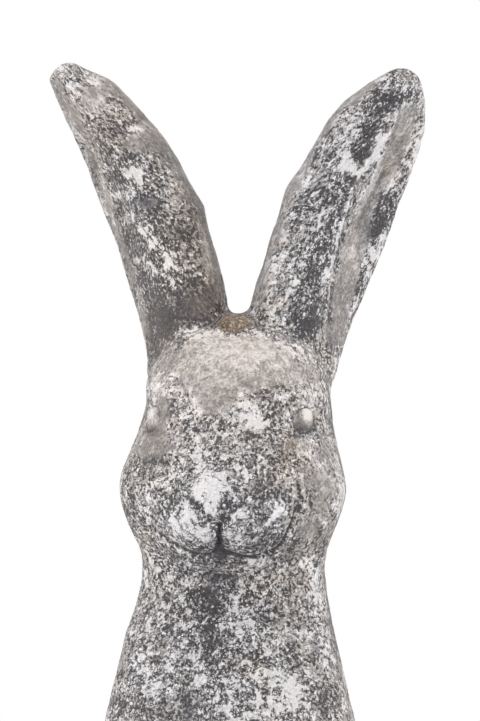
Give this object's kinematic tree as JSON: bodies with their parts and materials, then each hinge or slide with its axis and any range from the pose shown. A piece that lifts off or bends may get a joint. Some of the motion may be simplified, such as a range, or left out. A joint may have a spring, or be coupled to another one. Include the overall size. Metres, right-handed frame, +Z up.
{
  "type": "rabbit figurine",
  "caption": "Weathered cast-stone garden rabbit seated upright on a low oval plinth, with tall open ears, oval bead eyes and an iron armature inside.",
  "frame": {"origin": "centre of the plinth's flat underside", "axes": "+Z up, -Y the way the rabbit faces, +X towards the rabbit's own left ear"},
  "size_m": [0.24, 0.28, 0.6171],
  "materials": {
    "cast_stone": "weathered, rough, mottled grey and off-white",
    "mortar": "rough, pale buff",
    "brown_mortar": "rough, earthy brown",
    "iron": "rusted"
  },
  "bodies": {
    "root": {"plinth": "cast_stone", "plinth_mortar_bed": "mortar", "front_casting": "cast_stone", "rear_casting": "cast_stone", "left_ear": "cast_stone", "right_ear": "cast_stone", "left_ear_mortar": "mortar", "right_ear_mortar": "mortar", "crown_mortar": "brown_mortar", "left_eye": "cast_stone", "right_eye": "cast_stone", "left_eye_pin": "iron", "right_eye_pin": "iron", "spine_bar": "iron", "left_side_bar": "iron", "right_side_bar": "iron", "left_ear_rod": "iron", "right_ear_rod": "iron", "neck_tie": "iron", "head_tie": "iron", "left_leg_dowel": "iron", "right_leg_dowel": "iron"}
  },
  "joints": []
}
